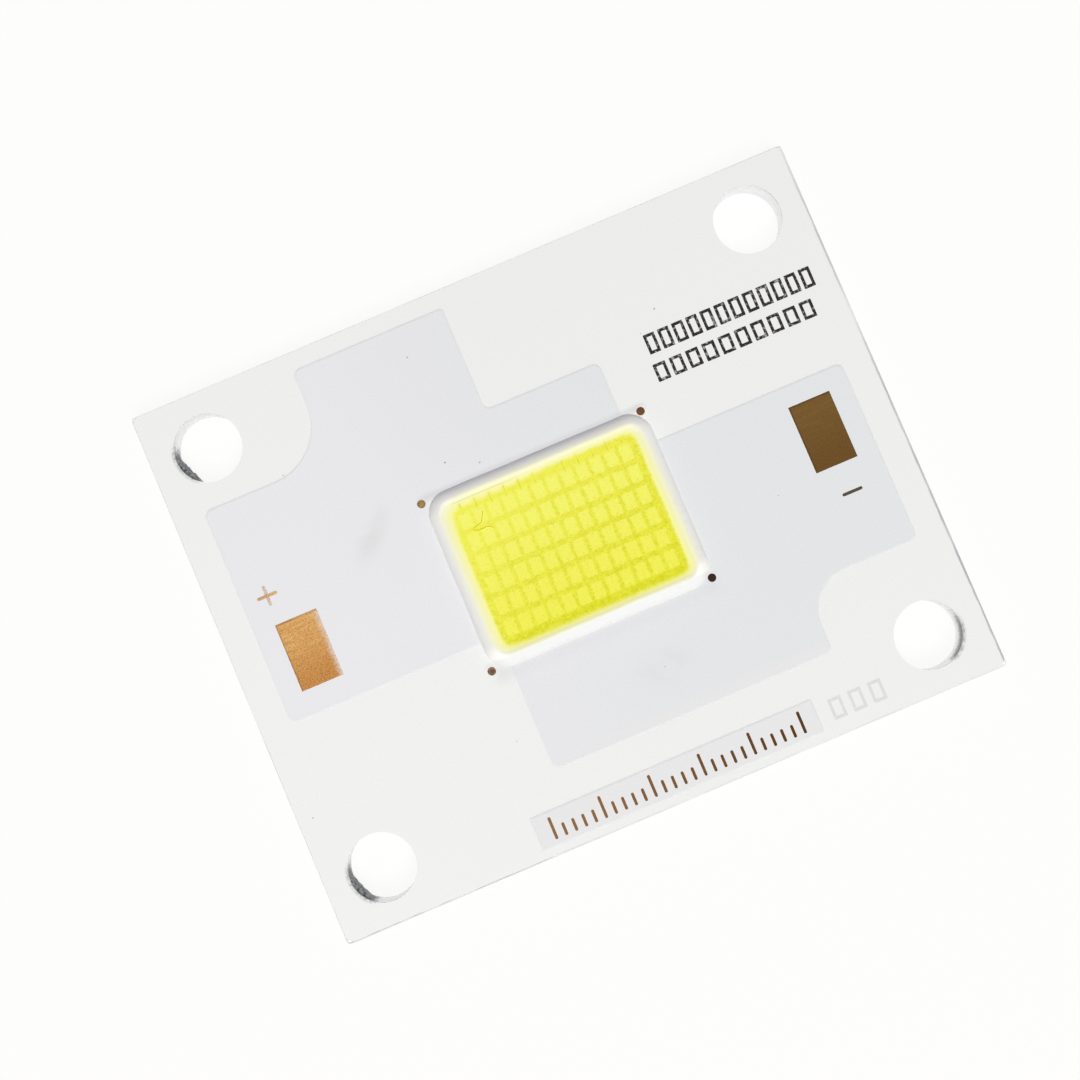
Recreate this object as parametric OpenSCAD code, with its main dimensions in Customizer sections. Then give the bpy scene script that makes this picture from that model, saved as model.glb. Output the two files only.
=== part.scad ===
// Chip-on-board LED module on an aluminium-core circuit board.
// Frame: origin at the centre of the back face, +X towards the cathode pad,
// +Y towards the edge above the emitter, +Z out of the lit face. Millimetres.

/* [Board] */
// Length along X
board_l = 40; // [36:0.5:48]
// Width along Y
board_w = 32; // [30:0.5:40]
// Thickness of the aluminium core
core_t = 1.6; // [1.2:0.1:3]
// Radius of the board's four corners
corner_r = 0.35; // [0.1:0.05:0.5]
// Depth of the V-score along each edge, on each face
score_depth = 0.5; // [0.2:0.05:0.6]
// Included angle of the V-score
score_angle = 45; // [20:5:60]

/* [Screw holes] */
// Diameter of each hole
hole_d = 3.9; // [3:0.1:4.5]
// Distance from a hole's centre to the short edge
hole_edge_x = 3.5; // [3:0.1:5]
// Distance from a hole's centre to the long edge
hole_edge_y = 3.3; // [3:0.1:5]

/* [Layers] */
// Thickness of the insulating layer under the copper
dielectric_t = 0.1; // [0.06:0.01:0.2]
// Thickness of the copper
copper_t = 0.07; // [0.035:0.005:0.14]
// Thickness of the solder mask
mask_t = 0.03; // [0.02:0.005:0.05]

/* [Dies] */
// Columns of dies, each a string in series
columns = 12; // [4:1:14]
// Dies in each string
rows = 6; // [3:1:7]
// Size of a die along X
die_w = 0.66; // [0.4:0.02:0.76]
// Size of a die along Y
die_l = 0.97; // [0.6:0.01:1.1]
// Thickness of a die
die_t = 0.15; // [0.1:0.01:0.2]
// Thickness of the adhesive under a die
attach_t = 0.02; // [0.01:0.005:0.04]
// How far the adhesive shows round a die
attach_rim = 0.03; // [0.01:0.01:0.05]
// Distance between the columns
pitch_x = 0.882; // [0.84:0.002:1]
// Distance between the dies of a string
pitch_y = 1.29; // [1.2:0.01:1.45]

/* [Bond wires] */
// Diameter of the wire
wire_d = 0.03; // [0.02:0.005:0.04]
// Diameter of the ball at each end of a wire
ball_d = 0.09; // [0.06:0.01:0.12]
// Height of the ball
ball_h = 0.03; // [0.025:0.005:0.04]
// Distance from a die's end to its ball
ball_inset = 0.13; // [0.1:0.01:0.2]
// Rise of the wire above its ends
loop_h = 0.14; // [0.1:0.01:0.18]

/* [Emitter] */
// Distance of the emitter's centre from the board's centre, along X
emitter_x = 0.13; // [-0.3:0.01:0.3]
// Space between the outer dies and the edge of the cavity
cavity_margin = 0.43; // [0.35:0.01:0.7]
// Corner radius of the cavity
cavity_r = 0.55; // [0.3:0.05:0.8]
// How far the copper stays back from the cavity
pullback = 0.07; // [0.05:0.01:0.12]
// Width of the bare copper strip that the wires land on
bond_strip = 0.16; // [0.13:0.01:0.25]
// Distance from the mask's window to the foot of the dam
dam_setback = 0.03; // [0.02:0.01:0.1]
// Width of the dam
dam_w = 0.9; // [0.7:0.05:1.2]
// Height of the dam above the mask
dam_h = 0.55; // [0.52:0.01:0.7]
// Corner radius of the dam, on its outside
dam_r = 1.4; // [1.3:0.05:2]
// Height of the phosphor above the mask
fill_h = 0.48; // [0.3:0.01:0.5]

/* [Tracks] */
// Distance from the board's short edge to either track
track_edge_x = 2; // [1.2:0.05:2.8]
// Distance from the board's upper edge to the anode track
anode_edge_y = 1.26; // [0.8:0.02:2]
// Distance from the board's lower edge to the cathode track
cathode_edge_y = 4.6; // [3.5:0.05:5.5]
// How far each track runs along X past the outermost string of a centred emitter
bus_overrun = 0.62; // [0.4:0.01:0.7]
// Height of the anode's shoulder above the dam
shoulder_h = 3.16; // [2:0.02:4]
// Distance from the board's centre to the right side of the anode's upper lobe
lobe_x = 1.42; // [0:0.02:3]
// Distance from the upper edge of the cavity down to the cathode track, right of the emitter
cathode_drop = 1.03; // [0.8:0.01:1.5]
// Distance from the lower edge of the cavity up to the anode track, left of the emitter
anode_rise = 0.78; // [0.6:0.01:1.5]
// Distance along X from the anode to the centre of the screw hole beside it
anode_clear_x = 6.13; // [5:0.01:7]
// Distance along Y from the anode to the centre of the screw hole beside it
anode_clear_y = 3.36; // [3:0.01:4]
// Radius of the anode's inner corner at that hole
anode_clear_r = 3.4; // [1:0.1:3.8]
// Distance along X from the cathode to the centre of the screw hole beside it
cathode_clear_x = 5.35; // [4:0.01:6]
// Distance along Y from the cathode to the centre of the screw hole beside it
cathode_clear_y = 5.27; // [4:0.01:6]
// Radius of the cathode's inner corner at that hole
cathode_clear_r = 2.5; // [1:0.05:3]
// Radius of the tracks' outer corners
track_r = 0.35; // [0.1:0.05:0.4]
// Radius of the sharper corner, at the upper right of the anode's lobe
lobe_r = 0.15; // [0.05:0.05:0.4]
// Radius of the inner corner at the anode's shoulder
shoulder_r = 0.5; // [0.2:0.05:0.8]

/* [Pads and marks] */
// Size of a soldering pad along X
pad_w = 2.5; // [1.5:0.1:3]
// Size of a soldering pad along Y
pad_l = 4; // [3:0.1:5]
// Distance from a track's outer edge to its pad's centre
pad_inset = 2.4; // [1.8:0.1:4]
// Length of the strokes of the polarity marks
mark_l = 1.2; // [0.8:0.05:1.4]
// Width of those strokes
mark_w = 0.18; // [0.12:0.01:0.25]
// Distance from a pad's end to its polarity mark
mark_gap = 1.7; // [1:0.1:2]
// Distance of the plus mark from its pad's centre, towards the board's edge
plus_x = 1.02; // [-0.5:0.02:1.2]
// Distance of the minus mark from its pad's centre, towards the board's edge
minus_x = 0.2; // [-0.5:0.02:1.2]
// Diameter of the dots at the dam's corners
dot_d = 0.48; // [0.3:0.02:0.6]
// Gap between the dam and the dots on the side that the emitter is offset to
dot_gap = 0.02; // [0.01:0.01:0.2]
// How far the copper of a dot reaches under the mask
dot_lap = 0.1; // [0.05:0.01:0.15]
// Length of the label's copper
label_l = 16.9; // [8:0.1:20]
// Height of the label's copper
label_w = 1.92; // [1:0.02:2.2]
// Distance from the board's lower edge to the label
label_edge = 0.64; // [0.4:0.02:1]
// Distance of the label's centre from the board's centre
label_x = 0.57; // [-3:0.01:3]
// Corner radius of the label
label_r = 0.12; // [0.05:0.01:0.3]

/* [Hidden] */
// Fineness of circles
$fn = 48;
// Straight steps in the arc of an outline's corner
corner_steps = 10;
// How far a cutter reaches past what it cuts
past = 0.5;

// Heights of the layers above the back face
dielectric_top = core_t + dielectric_t;
copper_top = dielectric_top + copper_t;
mask_low = dielectric_top + mask_t;
mask_high = copper_top + mask_t;
die_top = core_t + attach_t + die_t;
fill_top = mask_high + fill_h;

// Half sizes of the emitter, from the outermost die outwards
first_x = (columns - 1) / 2 * pitch_x;
first_y = (rows - 1) / 2 * pitch_y;
cavity_half = [first_x + die_w / 2, first_y + die_l / 2] + cavity_margin * [1, 1];
copper_half = cavity_half + pullback * [1, 1];
window_half = copper_half + bond_strip * [1, 1];
dam_half = window_half + (dam_setback + dam_w) * [1, 1];
dam_mid_half = dam_half - dam_w / 2 * [1, 1];
dam_mid_r = dam_r - dam_w / 2;
// Where the outermost wires land on the tracks
strip_y = copper_half.y + bond_strip / 2;

// Places of the holes, pads and dots
hole_x = board_l / 2 - hole_edge_x;
hole_y = board_w / 2 - hole_edge_y;
track_x = board_l / 2 - track_edge_x;
pad_x = track_x - pad_inset;
mark_y = pad_l / 2 + mark_gap;
dot_reach = (dam_r + dot_gap + dot_d / 2) * cos(45);
dot_x = dam_half.x + abs(emitter_x) - dam_r + dot_reach;
dot_y = dam_half.y - dam_r + dot_reach;
label_y = -board_w / 2 + label_edge + label_w / 2;

// Outlines are lists of right-angled corners, counter-clockwise: [x, y, radius]
function before(list, i) = list[(i + len(list) - 1) % len(list)];
function after(list, i) = list[(i + 1) % len(list)];
function flat(corner) = [corner.x, corner.y];
function way(from, to) = (flat(to) - flat(from)) / norm(flat(to) - flat(from));
function turn_right(v) = [v.y, -v.x];

// The outline's points, with each corner turned into an arc of its radius
function rounded(corners) = [
    for (i = [0 : len(corners) - 1])
    let (
        p = flat(corners[i]),
        r = corners[i].z,
        back = way(corners[i], before(corners, i)),
        on = way(corners[i], after(corners, i))
    )
    for (k = [0 : r > 0 ? corner_steps : 0])
    let (turn = 90 * k / corner_steps)
    p + r * (back + on) - r * (on * cos(turn) + back * sin(turn))
];

// The same corners moved outwards by a distance
function grown(corners, by) = [
    for (i = [0 : len(corners) - 1])
    let (
        into = way(before(corners, i), corners[i]),
        on = way(corners[i], after(corners, i)),
        p = flat(corners[i]) + by * (turn_right(into) + turn_right(on)),
        outer = cross(into, on) > 0
    )
    [p.x, p.y, corners[i].z == 0 ? 0 : corners[i].z + (outer ? by : -by)]
];

function box_corners(half, r, middle = [0, 0]) = [
    for (side = [[-1, -1], [1, -1], [1, 1], [-1, 1]])
    [middle.x + side.x * half.x, middle.y + side.y * half.y, r]
];

emitter_middle = [emitter_x, 0];

// The anode lies left of the emitter and above it. The three corners with
// no radius lie inside the cavity's opening, which cuts them away.
anode_inner_y = copper_half.y - cathode_drop / 2;
bus_end = first_x + bus_overrun;
anode_corners = [
    [-track_x, -cavity_half.y + anode_rise, track_r],
    [emitter_x, -cavity_half.y + anode_rise, 0],
    [emitter_x, anode_inner_y, 0],
    [bus_end, anode_inner_y, 0],
    [bus_end, dam_half.y + shoulder_h, track_r],
    [-lobe_x, dam_half.y + shoulder_h, shoulder_r],
    [-lobe_x, board_w / 2 - anode_edge_y, lobe_r],
    [-hole_x + anode_clear_x, board_w / 2 - anode_edge_y, track_r],
    [-hole_x + anode_clear_x, hole_y - anode_clear_y, anode_clear_r],
    [-track_x, hole_y - anode_clear_y, track_r]
];

// The cathode lies right of the emitter and below it
cathode_inner_y = -copper_half.y + anode_rise / 2;
cathode_corners = [
    [-bus_end, -board_w / 2 + cathode_edge_y, track_r],
    [hole_x - cathode_clear_x, -board_w / 2 + cathode_edge_y, track_r],
    [hole_x - cathode_clear_x, -hole_y + cathode_clear_y, cathode_clear_r],
    [track_x, -hole_y + cathode_clear_y, track_r],
    [track_x, cavity_half.y - cathode_drop, track_r],
    [emitter_x, cavity_half.y - cathode_drop, 0],
    [emitter_x, cathode_inner_y, 0],
    [-bus_end, cathode_inner_y, 0]
];

label_corners = box_corners([label_l, label_w] / 2, label_r, [label_x, label_y]);

// Dots that lie on neither track: upper right and lower left
free_dots = [[dot_x, dot_y], [-dot_x, -dot_y]];
// Dots that open onto a track: upper left on the anode, lower right on the cathode
track_dots = [[-dot_x, dot_y], [dot_x, -dot_y]];

function two_digits(i) = str(i < 10 ? "0" : "", i);
die_names = [for (i = [1 : columns]) str("die_string_", two_digits(i))];
wire_names = [for (i = [1 : columns]) str("bond_wires_", two_digits(i))];

// A slab of an outline between two heights
module slab(corners, low, high) {
    translate([0, 0, low])
        linear_extrude(high - low)
            polygon(rounded(corners));
}

module board_slab(low, high) {
    slab(box_corners([board_l, board_w] / 2, corner_r), low, high);
}

module emitter_slab(half, r, low, high) {
    slab(box_corners(half, r, emitter_middle), low, high);
}

// Screw holes, right through the board
module screw_holes() {
    for (x = [-hole_x, hole_x], y = [-hole_y, hole_y])
        translate([x, y, -past])
            cylinder(d = hole_d, h = mask_high + 2 * past);
}

// What the V-score takes off one edge: seen along the edge, with the face at height 0
module score_groove(half) {
    lean = tan(score_angle / 2);
    polygon([
        [half, -score_depth],
        [half + past, -score_depth],
        [half + past, past],
        [half - (score_depth + past) * lean, past]
    ]);
}

// The V-score along one edge, on both faces
module score_edge(half, length) {
    translate([-length / 2 - past, 0, 0])
        rotate([90, 0, 90])
            linear_extrude(length + 2 * past) {
                translate([0, mask_low])
                    score_groove(half);
                mirror([0, 1])
                    score_groove(half);
            }
}

module score_cuts() {
    for (turn = [0, 180]) {
        rotate(turn)
            score_edge(board_w / 2, board_l);
        rotate(turn + 90)
            score_edge(board_l / 2, board_w);
    }
}

module base_plate() {
    color("silver")
        difference() {
            board_slab(0, core_t);
            screw_holes();
            score_cuts();
        }
}

module dielectric_layer() {
    color("lightgray")
        difference() {
            board_slab(core_t, dielectric_top);
            emitter_slab(cavity_half, cavity_r, core_t - past, dielectric_top + past);
            screw_holes();
            score_cuts();
        }
}

// The cavity's opening in the copper
module copper_opening() {
    emitter_slab(copper_half, cavity_r + pullback, dielectric_top - past, copper_top + past);
}

module anode_copper() {
    color("peru")
        difference() {
            slab(anode_corners, dielectric_top, copper_top);
            copper_opening();
        }
}

module cathode_copper() {
    color("saddlebrown")
        difference() {
            slab(cathode_corners, dielectric_top, copper_top);
            copper_opening();
        }
}

module label_copper() {
    color("peru")
        slab(label_corners, dielectric_top, copper_top);
}

// Round dots of copper with an extra width all round
module free_dot_discs(extra, low, high) {
    for (place = free_dots)
        translate([place.x, place.y, low])
            cylinder(d = dot_d + 2 * (dot_lap + extra), h = high - low);
}

module fiducial_copper() {
    color("saddlebrown")
        free_dot_discs(0, dielectric_top, copper_top);
}

// Where the mask climbs over the copper, filled down to the dielectric
module raised_mask() {
    for (corners = [anode_corners, cathode_corners, label_corners])
        slab(grown(corners, mask_t), dielectric_top, mask_high);
    free_dot_discs(mask_t, dielectric_top, mask_high);
}

// A round-ended stroke of a polarity mark
module mark_stroke(turn) {
    straight = mark_l - mark_w;
    rotate(turn) {
        square([straight, mark_w], center = true);
        for (side = [-1, 1])
            translate([side * straight / 2, 0])
                circle(d = mark_w);
    }
}

// Openings in the mask, apart from the emitter's window
module mask_openings() {
    translate([0, 0, dielectric_top - past])
        linear_extrude(mask_high - dielectric_top + 2 * past) {
            for (side = [-1, 1])
                translate([side * pad_x, 0])
                    square([pad_w, pad_l], center = true);
            for (turn = [0, 90])
                translate([-pad_x - plus_x, mark_y])
                    mark_stroke(turn);
            translate([pad_x + minus_x, -mark_y])
                mark_stroke(0);
            for (place = concat(free_dots, track_dots))
                translate(place)
                    circle(d = dot_d);
        }
}

module solder_mask() {
    color("whitesmoke")
        difference() {
            union() {
                board_slab(dielectric_top, mask_low);
                raised_mask();
            }
            slab(anode_corners, dielectric_top - past, copper_top);
            slab(cathode_corners, dielectric_top - past, copper_top);
            slab(label_corners, dielectric_top - past, copper_top);
            free_dot_discs(0, dielectric_top - past, copper_top);
            emitter_slab(window_half, cavity_r + pullback + bond_strip,
                         dielectric_top - past, mask_high + past);
            mask_openings();
            screw_holes();
            score_cuts();
        }
}

function column_x(i) = emitter_x + (i - 1) * pitch_x - first_x;
function row_y(j) = first_y - (j - 1) * pitch_y;

// One box for each die of a column, with an extra width all round
module column_boxes(i, extra, low, high) {
    for (j = [1 : rows])
        translate([column_x(i), row_y(j), (low + high) / 2])
            cube([die_w + 2 * extra, die_l + 2 * extra, high - low], center = true);
}

module die_attach() {
    color("gainsboro")
        for (i = [1 : columns])
            column_boxes(i, attach_rim, core_t, core_t + attach_t);
}

module die_string(i) {
    color("lightsteelblue")
        column_boxes(i, 0, core_t + attach_t, die_top);
}

// One wire in a plane of constant X, between two bond points [y, z]
module bond_wire(from, to) {
    span = norm(to - from);
    lean = atan2(to.y - from.y, to.x - from.x);
    middle = (from + to) / 2;
    loop_r = (span * span / 4 + loop_h * loop_h) / (2 * loop_h);
    half_turn = asin(span / 2 / loop_r);
    translate([0, middle.x, middle.y + ball_h / 2])
        rotate([90, 0, 90])
            rotate(lean)
                translate([0, loop_h - loop_r])
                    rotate(90 - half_turn)
                        rotate_extrude(angle = 2 * half_turn)
                            translate([loop_r, 0])
                                circle(d = wire_d);
    for (end = [from, to])
        translate([0, end.x, end.y])
            cylinder(d = ball_d, h = ball_h);
}

// The wires of one string: from the cathode track, die to die, to the anode track
module bond_wires(i) {
    reach = die_l / 2 - ball_inset;
    color("gold")
        translate([column_x(i), 0, 0]) {
            bond_wire([-strip_y, copper_top], [row_y(rows) - reach, die_top]);
            for (j = [2 : rows])
                bond_wire([row_y(j) + reach, die_top], [row_y(j - 1) - reach, die_top]);
            bond_wire([row_y(1) + reach, die_top], [strip_y, copper_top]);
        }
}

// Section of the dam across the bead: a circle cut off flat below
module dam_section(low) {
    difference() {
        translate([0, mask_high + dam_h - dam_w / 2])
            circle(d = dam_w);
        translate([-dam_w, low - 2 * dam_w])
            square(2 * dam_w);
    }
}

// One straight side of the dam, towards +Y
module dam_side(half, length, low) {
    translate([-length / 2, half, 0])
        rotate([90, 0, 90])
            linear_extrude(length)
                dam_section(low);
}

// One corner of the dam, turning from +X to +Y
module dam_corner(low) {
    rotate_extrude(angle = 90)
        translate([dam_mid_r, 0])
            dam_section(low);
}

// The whole bead, cut off flat at a height
module dam_bead(low) {
    straight = dam_mid_half - dam_mid_r * [1, 1];
    translate(emitter_middle)
        for (turn = [0, 180])
            rotate(turn) {
                dam_side(dam_mid_half.y, 2 * straight.x, low);
                rotate(90)
                    dam_side(dam_mid_half.x, 2 * straight.y, low);
                translate(straight)
                    dam_corner(low);
                translate([-straight.x, straight.y])
                    rotate(90)
                        dam_corner(low);
            }
}

module dam() {
    color("white")
        difference() {
            dam_bead(mask_low);
            raised_mask();
        }
}

module phosphor_fill() {
    color("yellow")
        difference() {
            emitter_slab(dam_mid_half, dam_mid_r, core_t, fill_top);
            dielectric_layer();
            anode_copper();
            cathode_copper();
            solder_mask();
            dam_bead(core_t);
            die_attach();
            for (i = [1 : columns]) {
                die_string(i);
                bond_wires(i);
            }
        }
}

base_plate();
dielectric_layer();
anode_copper();
cathode_copper();
label_copper();
fiducial_copper();
solder_mask();
die_attach();
for (i = [1 : columns])
    die_string(i);
for (i = [1 : columns])
    bond_wires(i);
dam();
phosphor_fill();
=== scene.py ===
"""Looks of a chip-on-board LED module: a white board, bare copper pads and a yellow emitter.

The solder mask, the dam and the phosphor are modelled again with the soft forms of a printed
coat and of dispensed silicone. The other solids keep their shape and get their finish here.
Lengths are millimetres in the frame of the solids, and become metres where a mesh is made.
A pair of places for a tone says where it starts and where it is full.
"""
import math

import bpy
import numpy as np
from mathutils import Matrix, Vector, geometry, noise


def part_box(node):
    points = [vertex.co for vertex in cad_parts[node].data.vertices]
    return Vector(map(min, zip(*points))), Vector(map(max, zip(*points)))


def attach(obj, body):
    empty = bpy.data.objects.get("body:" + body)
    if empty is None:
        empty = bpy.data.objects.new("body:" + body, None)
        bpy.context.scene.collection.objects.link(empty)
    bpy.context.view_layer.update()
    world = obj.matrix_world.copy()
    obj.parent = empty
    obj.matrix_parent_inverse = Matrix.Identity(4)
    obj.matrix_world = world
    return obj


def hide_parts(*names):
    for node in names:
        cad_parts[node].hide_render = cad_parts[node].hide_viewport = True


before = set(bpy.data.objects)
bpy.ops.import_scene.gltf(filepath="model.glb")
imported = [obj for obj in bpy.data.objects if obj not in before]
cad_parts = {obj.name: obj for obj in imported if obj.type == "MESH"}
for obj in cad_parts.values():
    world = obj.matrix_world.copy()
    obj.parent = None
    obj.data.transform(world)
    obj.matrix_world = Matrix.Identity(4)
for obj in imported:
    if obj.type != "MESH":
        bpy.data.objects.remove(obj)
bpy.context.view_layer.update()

MM = 0.001
BODY = "root"

# Digits kept of a length, the least Z of an upward face's normal, the angle of a sharp edge, and
# the full middle and the height of a soft spot
DIGITS = 3
UPWARD = 0.99
SHARP_DEG = 50.0
SPOT_CORE = 0.15
SPOT_HEIGHT = 1000.0

# Camera: its place, the point of the board at the middle of the picture, its turn and its lens
CAMERA_PLACE = (-2.0, -3.5, 91.2)
CAMERA_AIM = (-1.34, 0.62, 1.73)
CAMERA_ROLL_DEG = -23.0
FOCAL_PIXELS = 1600
FRAME_PIXELS = 1080
SENSOR_MM = 36.0
CLIP_START = 5.0

# Light: a wide soft lamp on the side of the lower edge, a white world that is brighter there, and
# a white floor that shows a share of the shadow, which fades out away from the board
KEY_PLACE = (0.0, -300.0, 680.0)
KEY_SIZE = 400.0
KEY_WATTS = 4.5
WORLD_LEVEL = 0.3
WORLD_LEAN = 0.2
FLOOR_GREY = 0.85
SHADOW_SHARE = 0.09
SHADOW_FADE = (35.0, 110.0)
FLOOR_HALF = 2000.0

# Mask's form: its step over the copper, levelled by printing, the board's corner, the reach past
# the solid's edge, the slope beside the copper and its rings of points, the short steps that find
# the slope's direction and merge points, and the label's outline
MASK_STEP = 0.02
BOARD_CORNER_R = 0.4
MASK_OVERHANG = 0.05
SLOPE_W = 0.15
SLOPE_RINGS = (-0.12, -0.05, -0.02, 0.0, 0.02, 0.04, 0.06, 0.08, 0.1, 0.12, 0.15)
SLOPE_PROBE = 1e-3
WELD_GAP = 1e-5
LABEL_INSET = 0.06
LABEL_CORNER_R = 0.03

# Mask's tones: across the bare and the covered parts and at the label, the painted shade line on
# the slope, the painted shade at the dam's foot as [width, share, colour], the painted shade line
# along the right edge, where the scored face is in shade, and smudges as
# [middle, half size, turn in degrees, blotches per mm, where they are full, share, colour]
BARE_X = (-16.0, 8.0)
BARE_WANDER = 6.0
COVERED_X = (-15.0, 6.0)
LABEL_Y = (-10.5, -11.5)
STEP_SHADE_PLACE = 0.08
STEP_SHADE_W = 0.035
STEP_SHADE_LEVEL = 0.7
STEP_SHADE_LEAN = (0.15, 0.26)
FOOT_SHADE_END = 0.4
SHADE_ABOVE = (0.35, 0.5, (205, 204, 207))
SHADE_BELOW = (1.1, 0.7, (221, 221, 223))
EDGE_SHADE_X = (19.76, 19.85)
EDGE_SHADE_Y = (19.0, 7.0)
EDGE_SHADE_WANDER = 0.14
SMUDGES = (((-9.9, 4.5), (2.4, 1.1), 47, 0.6, 0.65, 0.5, (218, 218, 217)),
           ((2.2, -8.6), (2.6, 1.6), 10, 0.9, 0.7, 0.25, (210, 212, 216)))

# Dam: reach of its outer and inner slope from the crest, their heights, how straight the outer one
# is (2 would be round), its outer and least corner radius, its mesh, how unevenly the bead was
# laid, and how far from its upper and lower edge the painted tone changes: painted shade on the
# upper slope, which faces away from the lamp, and a dimmer white on the lower slope, which faces
# it
OUTER_REACH = 0.64
OUTER_H = 0.59
OUTER_POWER = 1.35
INNER_REACH = 0.4
INNER_H = 0.45
DAM_CORNER_R = 1.4
DAM_LEAST_R = 0.06
DAM_CORNER_STEPS = 14
DAM_SIDE_STEPS = 30
BEAD_STEPS = 32
BEAD_WAVE = 0.03
BEAD_WAVE_MIDDLE = 0.6
BEAD_WAVES_PER_MM = 0.45
BEAD_WAVE_LAYER = 3.0
DAM_UPPER_SHADE = (0.5, 0.1)
DAM_LOWER_DIMMING = (0.8, 0.5)

# Phosphor's form: where its film ends on the dam, its sag in the middle, the rings of points from
# the rim inwards, and the rings at the foot and the top of its wall
FILM_INSET = 0.78
FILL_SAG = 0.015
RIM_STEP = 0.04
RIM_STEPS = 16
INNER_INSETS = (1.4, 1.8, 2.4, 3.2, 4.2)
FILL_FOOT_INSET = 0.3
FILL_WALL_INSET = 0.06
FILL_WALL_DEPTH = 0.2

# Film on the dam: its upper, lower and left side, how much earlier or later it thins out there,
# its ragged edge, how far it reaches, and its colour. The full yellow ends sooner at the upper
# left and later at the upper right
FILM_UPPER_Y = (2.0, 4.2)
FILM_LOWER_Y = (-3.7, -4.3)
FILM_LEFT_X = (-3.5, -5.5)
EARLY_UPPER = 0.09
EARLY_LEFT = 0.07
LATE_LOWER = 0.05
FILM_RAGGED = 0.16
YELLOW_SOONER = 0.1
YELLOW_LATER = 0.22
YELLOW_LATER_X = (-2.5, 1.5)
YELLOW_EDGE = (-0.08, 0.11)
LOWER_SPREAD = 0.6
FILM_REACH = 0.86
LOWER_CUT = 0.22
FILM_PALE = (249, 247, 152)

# Pattern of the phosphor: soft edges of the dies, fainter gaps between columns, tones that lean
# from the upper left to the lower right, a dark band at the lower edge, wire ends under humps of
# yellow, balls on the dies, and a seam where the opening's edge shows through the film
DIE_BLUR = 0.055
DIE_WOBBLE = 0.2
COLUMN_GAP_PALE = 0.08
LEAN_X = 0.5
GAP_LEAN = (-6.0, 6.0)
DENSER_LEAN = (-9.0, 3.0)
UPPER_Y = (-4.2, 4.2)
LOW_BAND_Y = (-3.6, -4.0)
WIRE_FROM_Y = (3.5, 3.7)
WIRE_TO_Y = (4.35, 4.1)
WIRE_SEEN_Y = (-8.0, 4.0)
WIRE_HALF_W = (0.05, 0.015)
HUMP_FOOT_Y = 3.6
HUMP_SLOPE = 0.35
HUMP_HALF_W = (0.42, 0.16)
BALL_INSET = 0.13
BALL_R = (0.085, 0.03)
SEAM_Y = 4.36
SEAM_HALF_W = (0.035, 0.012)
SEAM_RIGHT_X = (-0.6, -2.6)
SEAM_LEFT_X = (-5.3, -4.9)

# Copper: its brushing, the tone along the pads, the painted shadow of the mask's edge along their
# upper and left sides, the haze on the anode's pad, the plus mark's place and bar, how far from
# the middle the marks are, where the tone changes from a pad to its track's dot and between the
# two lone dots, and the size of a dot's core
BRUSH_STRETCH = (0.7, 7.0, 1.0)
BRUSHED_Y = (-1.5, 1.0)
ANODE_Y = (1.6, -1.8)
CATHODE_Y = (2.0, -2.0)
PAD_SHADE_Y = (1.84, 1.97)
ANODE_SHADE_X = (-16.72, -16.82)
CATHODE_SHADE_X = (14.5, 14.38)
HAZE_X = (-14.6, -14.2)
HAZE_WANDER = 0.3
PLUS_Y = 3.7
PLUS_BAR = (0.08, 0.16)
MARK_Y = (2.4, 3.0)
DOT_X = (12.0, 9.0)
BOTH_DOTS_X = (-4.0, 4.0)
DOT_CORE = (0.22, 0.22)
STAIN_CORE = (0.2, 0.2)

# Aluminium: how level a score and a flat face are, the stretch of its grain, and the dark dashes
# on the score of the lower edge
SCORE_LEVEL = (0.12, 0.2)
FLAT_LEVEL = (0.7, 0.9)
ROLLED_STRETCH = (0.25, 9.0, 1.0)
MILLED_STRETCH = (0.3, 0.3, 16.0)
TURNED_STRETCH = (0.6, 0.6, 14.0)
DASH_STRETCH = (0.9, 0.2, 4.0)
DASH_X = (-3.0, -10.0)
DASH_Z = (1.36, 1.54)
DASH_NORMAL_Y = (-0.4, -0.7)

# Marks: strokes of the copper scale on the label, and rows of boxes printed in ink as
# [first x, y, count, pitch, width, height]
STROKE_W = 0.17
STROKE_END_R = 0.49 * STROKE_W
INK_T = 0.012
SCALE_TICKS = 26
SCALE_PITCH = 0.6
SCALE_LONG = 1.3
SCALE_SHORT = 0.75
SCALE_LONG_EVERY = 5
INK_ROWS = ((8.45, 8.36, 12, 0.86, 0.66, 1.16), (8.3, 6.68, 10, 0.99, 0.74, 1.04))
GREY_ROW = (9.85, -14.43, 3, 1.2, 0.78, 1.2)
BOX_CORNER_R = 0.03

# Painted shade at the screw holes whose walls face away from the lamp, as [x, y, half width, half
# height], its ragged edge, the width of the holes' rims, where the shade is also smeared onto the
# mask, and the painted shade down the wall, which is lighter and less deep on the right
HOLE_SHADE_PATCHES = ((-18.3, 12.1, 1.4, 2.2), (-18.2, -13.3, 1.7, 2.4), (18.0, -13.5, 1.7, 2.4))
HOLE_SHADE_RAGGED = 0.9
HOLE_RIM_W = 0.22
WALL_SHADE_SIDE_X = (-1.0, 1.0)
WALL_SHADE_LIGHTER = 0.45
WALL_SHADE_ROUGH = 1.2
WALL_SHADE_SHALLOWER = 0.75
WALL_SHADE_Z = (0.15, 1.15)

# A dark lump on the wall of the lower and the upper left hole, as painted shade of the wall: how
# far it stands out, between which heights, on which side, its mesh, its lumps, and how far it goes
# into the wall
SHADE_LUMP_DEPTHS = (0.26, 0.32)
SHADE_LUMP_HEIGHTS = (0.15, 1.5)
SHADE_LUMP_TURN_DEG = 202.0
SHADE_LUMP_STEPS = 36
SHADE_LUMP_RINGS = 14
SHADE_LUMP_ROUGH = 0.3
SHADE_LUMP_BUMPS_PER_MM = 4.0
SHADE_LUMP_SUNK = 0.02

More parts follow.
